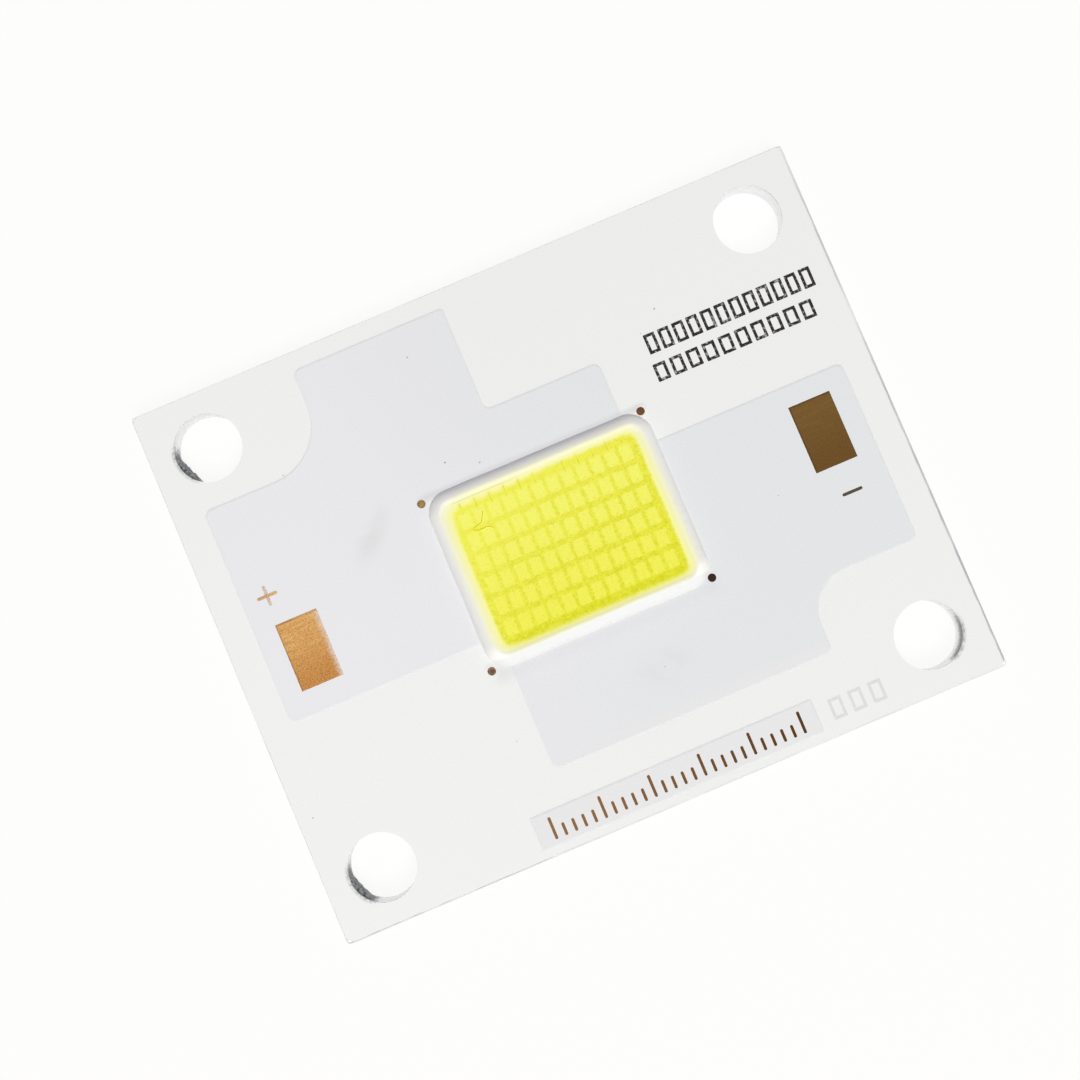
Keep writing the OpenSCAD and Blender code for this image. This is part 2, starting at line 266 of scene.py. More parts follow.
# Dust as [x, y, size], the form of a flake, and the bends of the fibre on the phosphor
SPECKS = ((-4.2, 13.0, 0.12), (-4.55, 6.7, 0.15), (-2.75, 5.95, 0.12), (9.65, 10.1, 0.13),
          (8.4, 9.1, 0.07), (-19.0, -8.7, 0.1), (-13.2, 9.6, 0.09), (2.3, -8.6, 0.08),
          (11.9, -2.3, 0.08), (-6.9, -9.2, 0.07))
SPECK_CORNERS = 9
SPECK_ROUGH = 0.45
SPECK_NARROW = 0.6
SPECK_Z = (-0.005, 0.012)
FIBRE_BENDS = ((-3.65, 3.32), (-3.9, 2.86), (-4.02, 2.74), (-4.42, 2.66), (-4.54, 2.58),
               (-4.44, 2.48), (-4.14, 2.4), (-3.78, 2.44), (-3.5, 2.34), (-3.48, 2.2))
FIBRE_R = 0.023
FIBRE_RISE = 0.6 * FIBRE_R


def srgb(red, green, blue):
    """A colour given by its 0 to 255 screen values, as linear light with full alpha."""
    def linear(level):
        share = level / 255
        return share / 12.92 if share <= 0.04045 else ((share + 0.055) / 1.055) ** 2.4
    return (linear(red), linear(green), linear(blue), 1.0)


def box_mm(node):
    """Lowest and highest corner of a solid."""
    low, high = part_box(node)
    return np.array(low) / MM, np.array(high) / MM


def lone_edges(faces):
    """The edges, each in its face's direction, that only one of the faces has."""
    edges = {}
    for corners in faces:
        for start, end in zip(corners, corners[1:] + corners[:1]):
            if (end, start) in edges:
                del edges[end, start]
            elif start != end:
                edges[start, end] = True
    return list(edges)


def upward_loops(node):
    """Outlines, seen from above, of a solid's upward faces, with the largest first."""
    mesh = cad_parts[node].data
    faces = []
    for face in mesh.polygons:
        if face.normal.z >= UPWARD:
            corners = [mesh.vertices[i].co.xy for i in face.vertices]
            faces.append([tuple(round(c / MM, DIGITS) for c in corner) for corner in corners])
    onward = dict(lone_edges(faces))
    loops = []
    while onward:
        start = next(iter(onward))
        loop = [start]
        point = onward.pop(start)
        while point != start:
            loop.append(point)
            point = onward.pop(point)
        loops.append(np.array(loop))
    return sorted(loops, key=lambda loop: -np.prod(np.ptp(loop, axis=0)))


# Heights and places that the solids give
copper_top = box_mm("anode_copper")[1][2]
mask_high = box_mm("solder_mask")[1][2]
mask_t = mask_high - copper_top
mask_low = mask_high - MASK_STEP
dielectric_top = box_mm("dielectric_layer")[1][2]
fill_level = box_mm("phosphor_fill")[1][2] - FILL_SAG
dam_low, dam_high = box_mm("dam")
emitter_middle = (dam_low + dam_high)[:2] / 2
dam_half = (dam_high - dam_low)[:2] / 2
label_low, label_high = box_mm("label_copper")
label_middle = (label_low + label_high)[:2] / 2
track_loops = upward_loops("anode_copper") + upward_loops("cathode_copper")
cavity_loop, *hole_loops = upward_loops("dielectric_layer")[1:]
hole_r = np.ptp(hole_loops[0][:, 0]) / 2
hole_middles = [loop.mean(axis=0) for loop in hole_loops]
dot_loops = upward_loops("fiducial_copper")
dot_place = max((loop.mean(axis=0) for loop in dot_loops), key=lambda middle: middle[0])
die_strings = sorted(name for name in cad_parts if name.startswith("die_string"))
wire_strings = sorted(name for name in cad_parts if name.startswith("bond_wires"))
first_die, last_die = box_mm(die_strings[0]), box_mm(die_strings[-1])
die_w = first_die[1][0] - first_die[0][0]
first_column = (first_die[0][0] + first_die[1][0]) / 2
pitch_x = (last_die[0][0] - first_die[0][0]) / (len(die_strings) - 1)
die_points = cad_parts[die_strings[0]].data.vertices
die_ends = sorted({round(point.co.y / MM, DIGITS) for point in die_points})
die_l = die_ends[1] - die_ends[0]
pitch_y = die_ends[2] - die_ends[0]
lowest_row = (die_ends[0] + die_ends[1]) / 2
die_rows = len(die_ends) // 2


# Outlines and meshes

def distance_to(points, loop):
    """Distance of each point from an outline, below zero inside it."""
    along = np.roll(loop, -1, axis=0) - loop
    offset = points[:, None, :] - loop[None]
    share = np.clip((offset * along).sum(2) / (along * along).sum(1), 0, 1)
    gap = np.linalg.norm(offset - share[..., None] * along, axis=2).min(1)
    return np.where(is_inside(points, [loop]), -gap, gap)


def nearest_gap(points, loops):
    """Distance of each point from the nearest of the outlines, below zero inside one."""
    return np.min([distance_to(points, loop) for loop in loops], axis=0)


def is_inside(points, loops):
    """True for each point that an odd number of the outlines surround."""
    inside = np.zeros(len(points), bool)
    y = points[:, 1, None]
    for start in loops:
        end = np.roll(start, -1, axis=0)
        spans = (start[:, 1] > y) != (end[:, 1] > y)
        rise = np.where(end[:, 1] == start[:, 1], 1.0, end[:, 1] - start[:, 1])
        cross_x = start[:, 0] + (y - start[:, 1]) / rise * (end[:, 0] - start[:, 0])
        inside ^= (spans & (points[:, 0, None] < cross_x)).sum(1) % 2 == 1
    return inside


def grown(loop, by):
    """A counter-clockwise outline moved outwards."""
    into = loop - np.roll(loop, 1, axis=0)
    on = np.roll(loop, -1, axis=0) - loop
    first = np.stack([into[:, 1], -into[:, 0]], 1) / np.linalg.norm(into, axis=1)[:, None]
    second = np.stack([on[:, 1], -on[:, 0]], 1) / np.linalg.norm(on, axis=1)[:, None]
    return loop + by * (first + second) / (1 + (first * second).sum(1))[:, None]


def rounded_box(half, radius, middle, corner_steps, side_steps=1):
    """A counter-clockwise rounded rectangle with the same number of points at any size."""
    points = []
    for quarter in range(4):
        turn = quarter * math.pi / 2
        across = np.array([math.cos(turn), math.sin(turn)])
        up = np.array([-math.sin(turn), math.cos(turn)])
        reach = half if quarter % 2 == 0 else half[::-1]
        hub = across * (reach[0] - radius) + up * (reach[1] - radius)
        for k in range(side_steps):
            share = k / side_steps
            low = across * reach[0] - up * (reach[1] - radius)
            points.append(low + share * 2 * up * (reach[1] - radius))
        for k in range(corner_steps):
            a = k / corner_steps * math.pi / 2
            points.append(hub + radius * (across * math.cos(a) + up * math.sin(a)))
    return np.array(points) + np.array(middle)


def filled(outline, inner_lines):
    """Points and triangles that fill the outlines, with edges along the inner lines too."""
    points, edges = [], []
    for loop in outline + inner_lines:
        first = len(points)
        points += [Vector(p) for p in loop]
        edges += [(first + k, first + (k + 1) % len(loop)) for k in range(len(loop))]
    flat, _, triangles, *_ = geometry.delaunay_2d_cdt(points, edges, [], 0, WELD_GAP)
    flat = np.array([tuple(p) for p in flat])
    middles = flat[np.array(triangles)].mean(axis=1)
    triangles = [t for t, kept in zip(triangles, is_inside(middles, outline)) if kept]
    used = sorted({i for t in triangles for i in t})
    renumber = {old: new for new, old in enumerate(used)}
    return flat[used], [[renumber[i] for i in t] for t in triangles]


def at_height(loop, z):
    return np.column_stack([loop, np.broadcast_to(z, len(loop))])


def loft(loops, first_index=0, closed=False, capped=False):
    """Faces between loops of as many points, the last joined to the first or both ends capped."""
    count = len(loops[0])
    faces = []
    for a in range(len(loops) if closed else len(loops) - 1):
        b = (a + 1) % len(loops)
        for k in range(count):
            after = (k + 1) % count
            quad = (a * count + k, a * count + after, b * count + after, b * count + k)
            faces.append([first_index + i for i in quad])
    if capped:
        faces.append([first_index + k for k in reversed(range(count))])
        faces.append([first_index + (len(loops) - 1) * count + k for k in range(count)])
    return faces


def add_object(name, data):
    """A new object in the scene."""
    item = bpy.data.objects.new(name, data)
    bpy.context.scene.collection.objects.link(item)
    return item


def add_piece(name, points, faces, material, replaces=(), smooth=True):
    """A mesh from points in millimetres, riding on the board."""
    mesh = bpy.data.meshes.new(name)
    mesh.from_pydata([Vector(p) * MM for p in points], [], faces)
    mesh.polygons.foreach_set("use_smooth", [smooth] * len(mesh.polygons))
    mesh.materials.append(material)
    mesh.update()
    mesh.set_sharp_from_angle(angle=math.radians(SHARP_DEG))
    piece = add_object(name, mesh)
    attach(piece, BODY)
    if replaces:
        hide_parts(*replaces)
    return piece


def add_attribute(piece, name, values):
    attribute = piece.data.attributes.new(name, "FLOAT", "POINT")
    attribute.data.foreach_set("value", np.asarray(values, np.float32))


# Materials

def feed(tree, socket, value):
    """Links another node's output to a socket, or sets the socket to a constant."""
    if isinstance(value, bpy.types.NodeSocket):
        tree.links.new(value, socket)
    else:
        socket.default_value = value


def add_node(tree, kind, *values, inputs=None, **settings):
    """A shader node with its settings, its first inputs in order, and others by name or number."""
    node = tree.nodes.new("ShaderNode" + kind)
    for setting, value in settings.items():
        setattr(node, setting, value)
    for key, value in {**dict(enumerate(values)), **(inputs or {})}.items():
        feed(tree, node.inputs[key], value)
    return node


class Graph:
    """The nodes of one material, around its principled shader."""

    def __init__(self, name, **settings):
        self.material = bpy.data.materials.new(name)
        self.material.use_nodes = True
        self.tree = self.material.node_tree
        self.shader = self.tree.nodes["Principled BSDF"]
        for socket, value in settings.items():
            self.give(socket.replace("_", " "), value)
        self.point = self.place()
        self.x, self.y, self.z = self.axes(self.point)

    def add(self, kind, *values, **settings):
        return add_node(self.tree, kind, *values, **settings).outputs

    def give(self, socket, value):
        feed(self.tree, self.shader.inputs[socket], value)

    def math(self, operation, *values):
        return self.add("Math", *values, operation=operation)[0]

    def plus(self, first, second):
        return self.math("ADD", first, second)

    def minus(self, first, second):
        return self.math("SUBTRACT", first, second)

    def times(self, first, *others):
        for other in others:
            first = self.math("MULTIPLY", first, other)
        return first

    def off(self, value, middle):
        """How far a value is from the middle, on either side."""
        return self.math("ABSOLUTE", self.minus(value, middle))

    def jitter(self, value, width):
        """Noise of 0 to 1 as a length around zero."""
        return self.times(self.minus(value, 0.5), width)

    def share(self, value, low, high, most=1.0, bend="SMOOTHSTEP"):
        """Rises from 0 at low to most at high, which may be the smaller number."""
        ends = (low, high, 0.0, most) if high > low else (high, low, most, 0.0)
        return self.add("MapRange", value, *ends, interpolation_type=bend)[0]

    def mix(self, share, first, second):
        """Between two values, each of which is an output or a screen colour."""
        first, second = [srgb(*end) if isinstance(end, tuple) else end for end in (first, second)]
        return self.add("Mix", share, inputs={6: first, 7: second}, data_type="RGBA")[2]

    def place(self, stretch=(1.0, 1.0, 1.0)):
        """The point on the object in millimetres, with each axis stretched."""
        point = self.add("TexCoord")["Object"]
        return self.add("VectorMath", point, [s / MM for s in stretch], operation="MULTIPLY")[0]

    def axes(self, vector):
        return self.add("SeparateXYZ", vector)

    def noise(self, per_mm, detail, stretch=None):
        vector = self.place(stretch) if stretch else self.point
        inputs = {"Vector": vector, "Scale": per_mm, "Detail": detail}
        return self.add("TexNoise", inputs=inputs)[0]

    def attribute(self, name):
        return self.add("Attribute", attribute_name=name)["Fac"]

    def spot(self, middle, half, turn_deg=0):
        """1 at the middle of a soft oval and 0 outside it, at any height."""
        inputs = {"Vector": self.point, "Location": (*middle, 0.0), "Scale": (*half, SPOT_HEIGHT),
                  "Rotation": (0, 0, math.radians(turn_deg))}
        turned = self.add("Mapping", inputs=inputs, vector_type="TEXTURE")[0]
        length = self.add("VectorMath", turned, operation="LENGTH")["Value"]
        return self.share(length, 1.0, SPOT_CORE)

    def bump(self, height, depth):
        """Relief of a depth in millimetres."""
        inputs = {"Height": height, "Distance": depth * MM}
        self.give("Normal", self.add("Bump", inputs=inputs)[0])


def hole_shade_patches(graph):
    """1 in the patches of painted shade at the holes and 0 outside them, with a ragged edge."""
    patches = [graph.spot((x, y), (wide, high)) for x, y, wide, high in HOLE_SHADE_PATCHES]
    most = patches[0]
    for patch in patches[1:]:
        most = graph.math("MAXIMUM", most, patch)
    uneven = graph.jitter(graph.noise(5.0, 4.0), HOLE_SHADE_RAGGED)
    return graph.share(graph.plus(most, uneven), 0.25, 0.8)


def near_holes(graph):
    """1 at the rim of a screw hole and 0 a little way off."""
    flat = graph.add("VectorMath", graph.point, (1.0, 1.0, 0.0), operation="MULTIPLY")[0]
    least = HOLE_RIM_W
    for middle in hole_middles:
        away = graph.add("VectorMath", flat, (*middle, 0.0), operation="DISTANCE")["Value"]
        least = graph.math("MINIMUM", graph.minus(away, hole_r), least)
    return graph.share(least, HOLE_RIM_W, 0.0)


def mask_material():
    """White coat: greyer over copper, with painted shade along its steps, at the dam's foot, along
    the right edge and at the holes' rims, and smudged.
    """
    graph = Graph("white_solder_mask", Specular_IOR_Level=0.25)
    x, y = graph.x, graph.y
    clouds = graph.noise(0.11, 3.0)
    grain = graph.noise(9.0, 3.0)
    from_left = graph.plus(x, graph.times(clouds, BARE_WANDER))
    bare = graph.mix(graph.share(from_left, *BARE_X), (241, 241, 239), (239, 239, 237))
    covered = graph.mix(graph.share(x, *COVERED_X), (234, 233, 236), (228, 229, 230))
    covered = graph.mix(graph.share(y, *LABEL_Y), covered, (232, 231, 232))
    base = graph.mix(graph.attribute("over_copper"), bare, covered)
    # Painted shade: a grey line along the mask's step over the copper's edges
    line = graph.times(graph.attribute("step_shade"), graph.share(grain, 0.2, 0.8, 0.7))
    base = graph.mix(line, base, (200, 201, 206))

    ends = (dam_half[0] + FOOT_SHADE_END, dam_half[0] - FOOT_SHADE_END)
    beside_dam = graph.share(graph.off(x, emitter_middle[0]), *ends)
    feet = ((dam_high[1], SHADE_ABOVE), (dam_low[1], SHADE_BELOW))
    for foot_y, (width, most, colour) in feet:
        shade = graph.share(graph.off(y, foot_y), width, 0.0, most)
        base = graph.mix(graph.times(beside_dam, shade), base, colour)

    # Painted shade: a broken grey line along the right edge, where the scored face is in shade
    wander = graph.times(graph.noise(1.3, 4.0), EDGE_SHADE_WANDER)
    edge = graph.times(graph.share(graph.plus(x, wander), *EDGE_SHADE_X),
                       graph.share(clouds, 0.3, 0.6, 0.8), graph.share(y, *EDGE_SHADE_Y))
    base = graph.mix(edge, base, (138, 143, 149))
    for middle, half, turn_deg, per_mm, full, most, colour in SMUDGES:
        blotches = graph.share(graph.noise(per_mm, 2.0), 0.3, full, most)
        smudge = graph.times(graph.spot(middle, half, turn_deg), blotches)
        base = graph.mix(smudge, base, colour)
    # Painted shade: a dark smear on the mask at the rims of the holes whose walls are in shade
    smear = graph.times(near_holes(graph), hole_shade_patches(graph),
                        graph.share(graph.noise(6.0, 4.0), 0.2, 0.8, 0.8))
    base = graph.mix(smear, base, (118, 120, 122))
    graph.give("Base Color", base)
    graph.give("Roughness", graph.share(grain, 0.2, 0.8, 0.6))
    graph.bump(graph.noise(5.0, 3.0), 0.004)
    return graph.material


def thinning_film(graph, inside):
    """The inside's colour up to the cavity's edge, then pale yellow that fades to white, painted
    brighter at the lower side to lift the shade there.
    """
    x, y = graph.x, graph.y
    upper = graph.share(y, *FILM_UPPER_Y)
    lower = graph.share(y, *FILM_LOWER_Y)
    at_left = graph.share(x, *FILM_LEFT_X, EARLY_LEFT)
    early = graph.plus(graph.times(upper, EARLY_UPPER), at_left)
    early = graph.minus(early, graph.times(lower, LATE_LOWER))
    film = graph.plus(graph.attribute("film"), early)
    film = graph.plus(film, graph.jitter(graph.noise(5.0, 4.0), FILM_RAGGED))

    sooner = graph.minus(YELLOW_SOONER, graph.share(x, *YELLOW_LATER_X, YELLOW_LATER))
    soft = graph.plus(film, graph.times(upper, sooner))
    spread = graph.plus(upper, graph.times(lower, LOWER_SPREAD))
    soft = graph.math("DIVIDE", soft, graph.plus(spread, 1.0))
    pale = graph.mix(lower, FILM_PALE, (243, 239, 112))
    base = graph.mix(graph.share(soft, *YELLOW_EDGE), inside, pale)

    reach = graph.minus(FILM_REACH, graph.times(lower, LOWER_CUT))
    thin = graph.share(graph.math("DIVIDE", film, reach), 0.05, 1.0, bend="LINEAR")
    # Painted light: the white is brighter at the lower side, where the dam's inner slope is in
    # shade
    white = graph.mix(lower, (244, 243, 239), (255, 254, 248))
    return graph.mix(thin, base, white)


def dam_material():
    """White silicone under the thin end of the film, with painted shade at its upper edge and
    painted dimming at its lower, lit edge.
    """
    graph = Graph("white_silicone", Specular_IOR_Level=0.3, Subsurface_Weight=0.05,
                  Subsurface_Scale=0.2 * MM)
    cloud = graph.noise(0.8, 3.0)
    base = thinning_film(graph, FILM_PALE)
    # Painted shade on the upper slope, away from the lamp, and a painted dimmer white on the lower
    # slope
    upper = [dam_high[1] - inset for inset in DAM_UPPER_SHADE]
    base = graph.mix(graph.share(graph.y, *upper), base, (226, 223, 227))
    lower = [dam_low[1] + inset for inset in DAM_LOWER_DIMMING]
    base = graph.mix(graph.share(graph.y, *lower), base, (239, 239, 237))
    graph.give("Base Color", base)
    graph.give("Roughness", graph.share(cloud, 0.0, 1.0, 0.8))
    graph.bump(graph.noise(4.0, 3.0), 0.006)
    return graph.material


def nearest_die(graph, value, first, pitch, count):
    """Distance along one axis from the middle of the nearest die."""
    steps = graph.math("ROUND", graph.math("DIVIDE", graph.minus(value, first), pitch))
    index = graph.math("MINIMUM", graph.math("MAXIMUM", steps, 0.0), count - 1.0)
    return graph.off(value, graph.plus(graph.times(index, pitch), first))


def die_pattern(graph, across, along, grain, clumps):
    """Pale rectangles over the dies, with darker grains between them and at the lower edge."""
    x, y = graph.x, graph.y
    wobble = graph.jitter(grain, DIE_WOBBLE)
    in_column = graph.share(graph.plus(across, wobble), die_w / 2 + DIE_BLUR, die_w / 2 - DIE_BLUR,
                            1 - COLUMN_GAP_PALE)
    in_column = graph.plus(in_column, COLUMN_GAP_PALE)
    in_row = graph.share(graph.plus(along, wobble), die_l / 2 + DIE_BLUR, die_l / 2 - DIE_BLUR)
    on_die = graph.times(in_row, in_column)
    lean = graph.minus(graph.times(x, LEAN_X), y)
    denser = graph.share(lean, *DENSER_LEAN)
    gap = graph.mix(graph.share(lean, *GAP_LEAN), (243, 241, 88), (235, 233, 64))
    clump = graph.times(denser, graph.share(clumps, 0.42, 0.66, 0.5))
    gap = graph.mix(clump, gap, (217, 215, 40))
    pale = graph.mix(graph.share(y, *UPPER_Y), (244, 242, 90), (248, 247, 116))
    pale = graph.mix(graph.share(grain, 0.35, 0.75, 0.35), pale, (238, 237, 84))
    base = graph.mix(on_die, gap, pale)
    band = graph.times(graph.share(graph.plus(y, wobble), *LOW_BAND_Y),
                       graph.share(clumps, 0.2, 0.65, 0.9))
    base = graph.mix(band, base, (222, 220, 36))
    specks = graph.share(graph.noise(13.0, 2.0), 0.5, 0.64)
    specks = graph.times(specks, graph.share(on_die, 1.4, 0.4, 0.45), denser)
    return graph.mix(specks, base, (196, 196, 20))


def wire_marks(graph, base, across, along, grain, clumps):
    """Adds the wires at the ends of the columns, the yellow over them, and the dies' balls."""
    y = graph.y
    end = graph.math("ABSOLUTE", y)
    at_end = graph.times(graph.share(end, *WIRE_FROM_Y), graph.share(end, *WIRE_TO_Y))
    hump = graph.plus(across, graph.times(graph.minus(end, HUMP_FOOT_Y), HUMP_SLOPE))
    coated = graph.times(at_end, graph.share(hump, *HUMP_HALF_W, 0.7), graph.share(y, *UPPER_Y))
    base = graph.mix(coated, base, (242, 240, 84))
    tick = graph.times(at_end, graph.share(across, *WIRE_HALF_W),
                       graph.share(clumps, 0.3, 0.6, 0.36), graph.share(y, *WIRE_SEEN_Y))
    past_ball = graph.minus(along, die_l / 2 - BALL_INSET)
    square = graph.plus(graph.math("POWER", across, 2.0), graph.math("POWER", past_ball, 2.0))
    ball = graph.times(graph.share(graph.math("SQRT", square), *BALL_R),
                       graph.share(grain, 0.35, 0.65, 0.2))
    return graph.mix(graph.math("MAXIMUM", tick, ball), base, (182, 180, 30))


def phosphor_material():
    """Yellow silicone that shows the dies and the wires' ends, and thins out over the dam."""
    graph = Graph("yellow_phosphor", Specular_IOR_Level=0.12, Roughness=0.55)
    x, y = graph.x, graph.y
    grain = graph.noise(7.0, 4.0)
    clumps = graph.noise(3.2, 3.0)
    across = nearest_die(graph, x, first_column, pitch_x, len(die_strings))
    along = nearest_die(graph, y, lowest_row, pitch_y, die_rows)
    base = die_pattern(graph, across, along, grain, clumps)
    base = thinning_film(graph, base)
    base = wire_marks(graph, base, across, along, grain, clumps)
    seam = graph.times(graph.share(graph.off(y, SEAM_Y), *SEAM_HALF_W, 0.5),
                       graph.share(x, *SEAM_RIGHT_X), graph.share(x, *SEAM_LEFT_X))
    base = graph.mix(seam, base, (205, 203, 84))
    graph.give("Base Color", base)
    graph.bump(grain, 0.006)
    return graph.material


def copper_material(name, finish, brushing):
    """Bare copper, grainy and brushed along X, with the colour that finish gives."""
    graph = Graph(name, Metallic=1.0)
    lines = graph.noise(1.0, 3.0, BRUSH_STRETCH)
    grain = graph.noise(14.0, 2.0)
    base = finish(graph)
    brushed = graph.share(graph.y, *BRUSHED_Y, brushing)
    bright = graph.times(brushed, graph.share(lines, 0.54, 0.38))
    base = graph.mix(bright, base, (240, 200, 132))
    base = graph.mix(graph.share(grain, 0.46, 0.66, brushing), base, (128, 76, 30))
    graph.give("Base Color", base)
    graph.give("Roughness", graph.share(grain, 0.1, 0.9, 0.75))
    graph.bump(grain, 0.01 * brushing)
    return graph.material


def anode_finish(graph):
    """Orange at the pad, bleached at the plus mark and hazy at the pad's inner side."""
    x, y = graph.x, graph.y
    pad = graph.mix(graph.share(y, *ANODE_Y), (224, 170, 106), (208, 148, 84))
    haze = graph.plus(x, graph.times(graph.noise(2.5, 3.0), HAZE_WANDER))
    pad = graph.mix(graph.share(haze, *HAZE_X, 0.75), pad, (236, 222, 210))
    # Painted shadow of the mask's edge along the pad's upper and left side
    rim = graph.math("MAXIMUM", graph.share(y, *PAD_SHADE_Y, 0.65), graph.share(x, *ANODE_SHADE_X, 0.5))
    pad = graph.mix(rim, pad, (150, 106, 66))
    upright = graph.share(graph.off(y, PLUS_Y), *PLUS_BAR)
    sign = graph.mix(upright, (210, 170, 128), (220, 206, 198))
    mark = graph.mix(graph.share(y, *MARK_Y), pad, sign)
    dot = graph.spot((-dot_place[0], dot_place[1]), DOT_CORE)
    dot = graph.mix(dot, (126, 108, 82), (170, 136, 86))
    return graph.mix(graph.share(x, -DOT_X[0], -DOT_X[1]), mark, dot)


def cathode_finish(graph):
    """Dark brown, darker still at the minus mark and the dot."""
    x, y = graph.x, graph.y
    pad = graph.mix(graph.share(y, *CATHODE_Y), (121, 91, 49), (112, 82, 43))
    # Painted shadow of the mask's edge along the pad's upper and left side
    rim = graph.math("MAXIMUM", graph.share(y, *PAD_SHADE_Y, 0.7), graph.share(x, *CATHODE_SHADE_X, 0.6))
    pad = graph.mix(rim, pad, (84, 58, 28))
    mark = graph.mix(graph.share(y, -MARK_Y[0], -MARK_Y[1]), pad, (92, 82, 70))
    return graph.mix(graph.share(x, *DOT_X), mark, (64, 44, 40))


def label_finish(graph):
    """Brown, and darker to the right."""
    along = graph.share(graph.x, label_low[0], label_high[0])
    return graph.mix(along, (152, 110, 68), (94, 62, 30))


def dot_finish(graph):
    """Greyish at the lower left dot, with a browner middle, and brown at the upper right one."""
    stains = graph.share(graph.noise(5.0, 2.0), 0.4, 0.6)
    stained = graph.mix(stains, (112, 92, 76), (152, 128, 108))
    core = graph.spot(-dot_place, STAIN_CORE)
    stained = graph.mix(core, stained, (124, 84, 62))
    return graph.mix(graph.share(graph.x, *BOTH_DOTS_X), stained, (104, 70, 48))


def aluminium_material():
    """Rolled metal on the flat faces, milled scores, snapped edges and drilled walls."""
    graph = Graph("aluminium", Metallic=0.85)
    x, z = graph.x, graph.z
    _, normal_y, normal_z = graph.axes(graph.add("NewGeometry")["True Normal"])
    level = graph.math("ABSOLUTE", normal_z)
    on_score = graph.share(level, *SCORE_LEVEL)
    on_flat = graph.share(level, *FLAT_LEVEL)
    drilled = near_holes(graph)
    rolled = graph.noise(1.0, 5.0, ROLLED_STRETCH)
    milled = graph.noise(1.0, 3.0, MILLED_STRETCH)
    turned = graph.noise(1.0, 3.0, TURNED_STRETCH)
    rough = graph.noise(6.0, 5.0)

    flat = graph.mix(rolled, (188, 190, 193), (214, 215, 217))
    score = graph.mix(graph.share(milled, 0.35, 0.65), (226, 227, 230), (250, 250, 250))
    broken = graph.share(graph.noise(1.0, 6.0, DASH_STRETCH), 0.38, 0.58, 0.85)
    dark_dashes = graph.times(broken, graph.share(x, *DASH_X), graph.share(z, *DASH_Z),
                       graph.share(normal_y, *DASH_NORMAL_Y))
    score = graph.mix(dark_dashes, score, (112, 114, 120))
    snapped = graph.mix(graph.share(rough, 0.35, 0.65), (168, 170, 174), (208, 209, 212))
    wall = graph.mix(graph.share(turned, 0.35, 0.65), (242, 242, 243), (252, 252, 252))
    # Painted shade: dark patches down the walls of three holes, where the walls face away from the
    # lamp, lighter and less deep at the right one
    wall_shade = graph.mix(graph.share(rough, 0.4, 0.6), (44, 46, 50), (156, 156, 156))
    to_right = graph.share(x, *WALL_SHADE_SIDE_X)
    wall_shade = graph.mix(graph.times(to_right, WALL_SHADE_LIGHTER), wall_shade, (176, 173, 168))
    height = graph.plus(z, graph.times(rough, WALL_SHADE_ROUGH))
    height = graph.minus(height, graph.times(to_right, WALL_SHADE_SHALLOWER))
    in_shade = graph.times(hole_shade_patches(graph), graph.share(height, *WALL_SHADE_Z))
    wall = graph.mix(in_shade, wall, wall_shade)

    base = graph.mix(drilled, snapped, wall)
    base = graph.mix(on_score, base, score)
    graph.give("Base Color", graph.mix(on_flat, base, flat))
    graph.give("Roughness", graph.share(rough, -0.6, 1.0, 0.8))
    relief = graph.mix(drilled, rough, graph.times(turned, 0.25))
    relief = graph.mix(on_score, relief, graph.times(milled, 0.3))
    graph.bump(graph.mix(on_flat, relief, rolled), 0.015)
    return graph.material


def speckled_material(name, first, second, per_mm, depth, **settings):
    """A finish that wanders between two colours."""
    graph = Graph(name, **settings)
    cloud = graph.noise(per_mm, 4.0)
    graph.give("Base Color", graph.mix(graph.share(cloud, 0.3, 0.7), first, second))
    graph.give("Roughness", graph.share(cloud, -0.5, 1.0, 0.8))
    graph.bump(cloud, depth)
    return graph.material


def ink_material(name, full, worn, wear):
    """Printed ink with gaps where it didn't take."""
    graph = Graph(name, Specular_IOR_Level=0.2, Roughness=0.6)
    gaps = graph.share(graph.noise(5.5, 4.0), 0.54 - wear, 0.7 - wear, 0.9)
    graph.give("Base Color", graph.mix(gaps, full, worn))
    return graph.material


# Pieces

def scale_strokes():
    """Outlines of the label's copper tick marks, evenly spaced and every fifth one longer."""
    first_x = label_middle[0] - (SCALE_TICKS - 1) / 2 * SCALE_PITCH
    foot_y = label_middle[1] - SCALE_LONG / 2
    strokes = []
    for k in range(SCALE_TICKS):
        length = SCALE_LONG if k % SCALE_LONG_EVERY == 0 else SCALE_SHORT
        middle = (first_x + k * SCALE_PITCH, foot_y + length / 2)
        half = np.array([STROKE_W, length]) / 2
        strokes.append(rounded_box(half, STROKE_END_R, middle, corner_steps=4))
    return strokes


def down_slope(gap):
    """0 over the copper, 1 past the slope beside it, and an even bend between."""
    t = np.clip(gap / SLOPE_W, 0, 1)
    return t * t * (3 - 2 * t)


def mask_height(gap):
    """Height of the mask's top at a distance from the copper."""
    return mask_high - MASK_STEP * down_slope(gap)


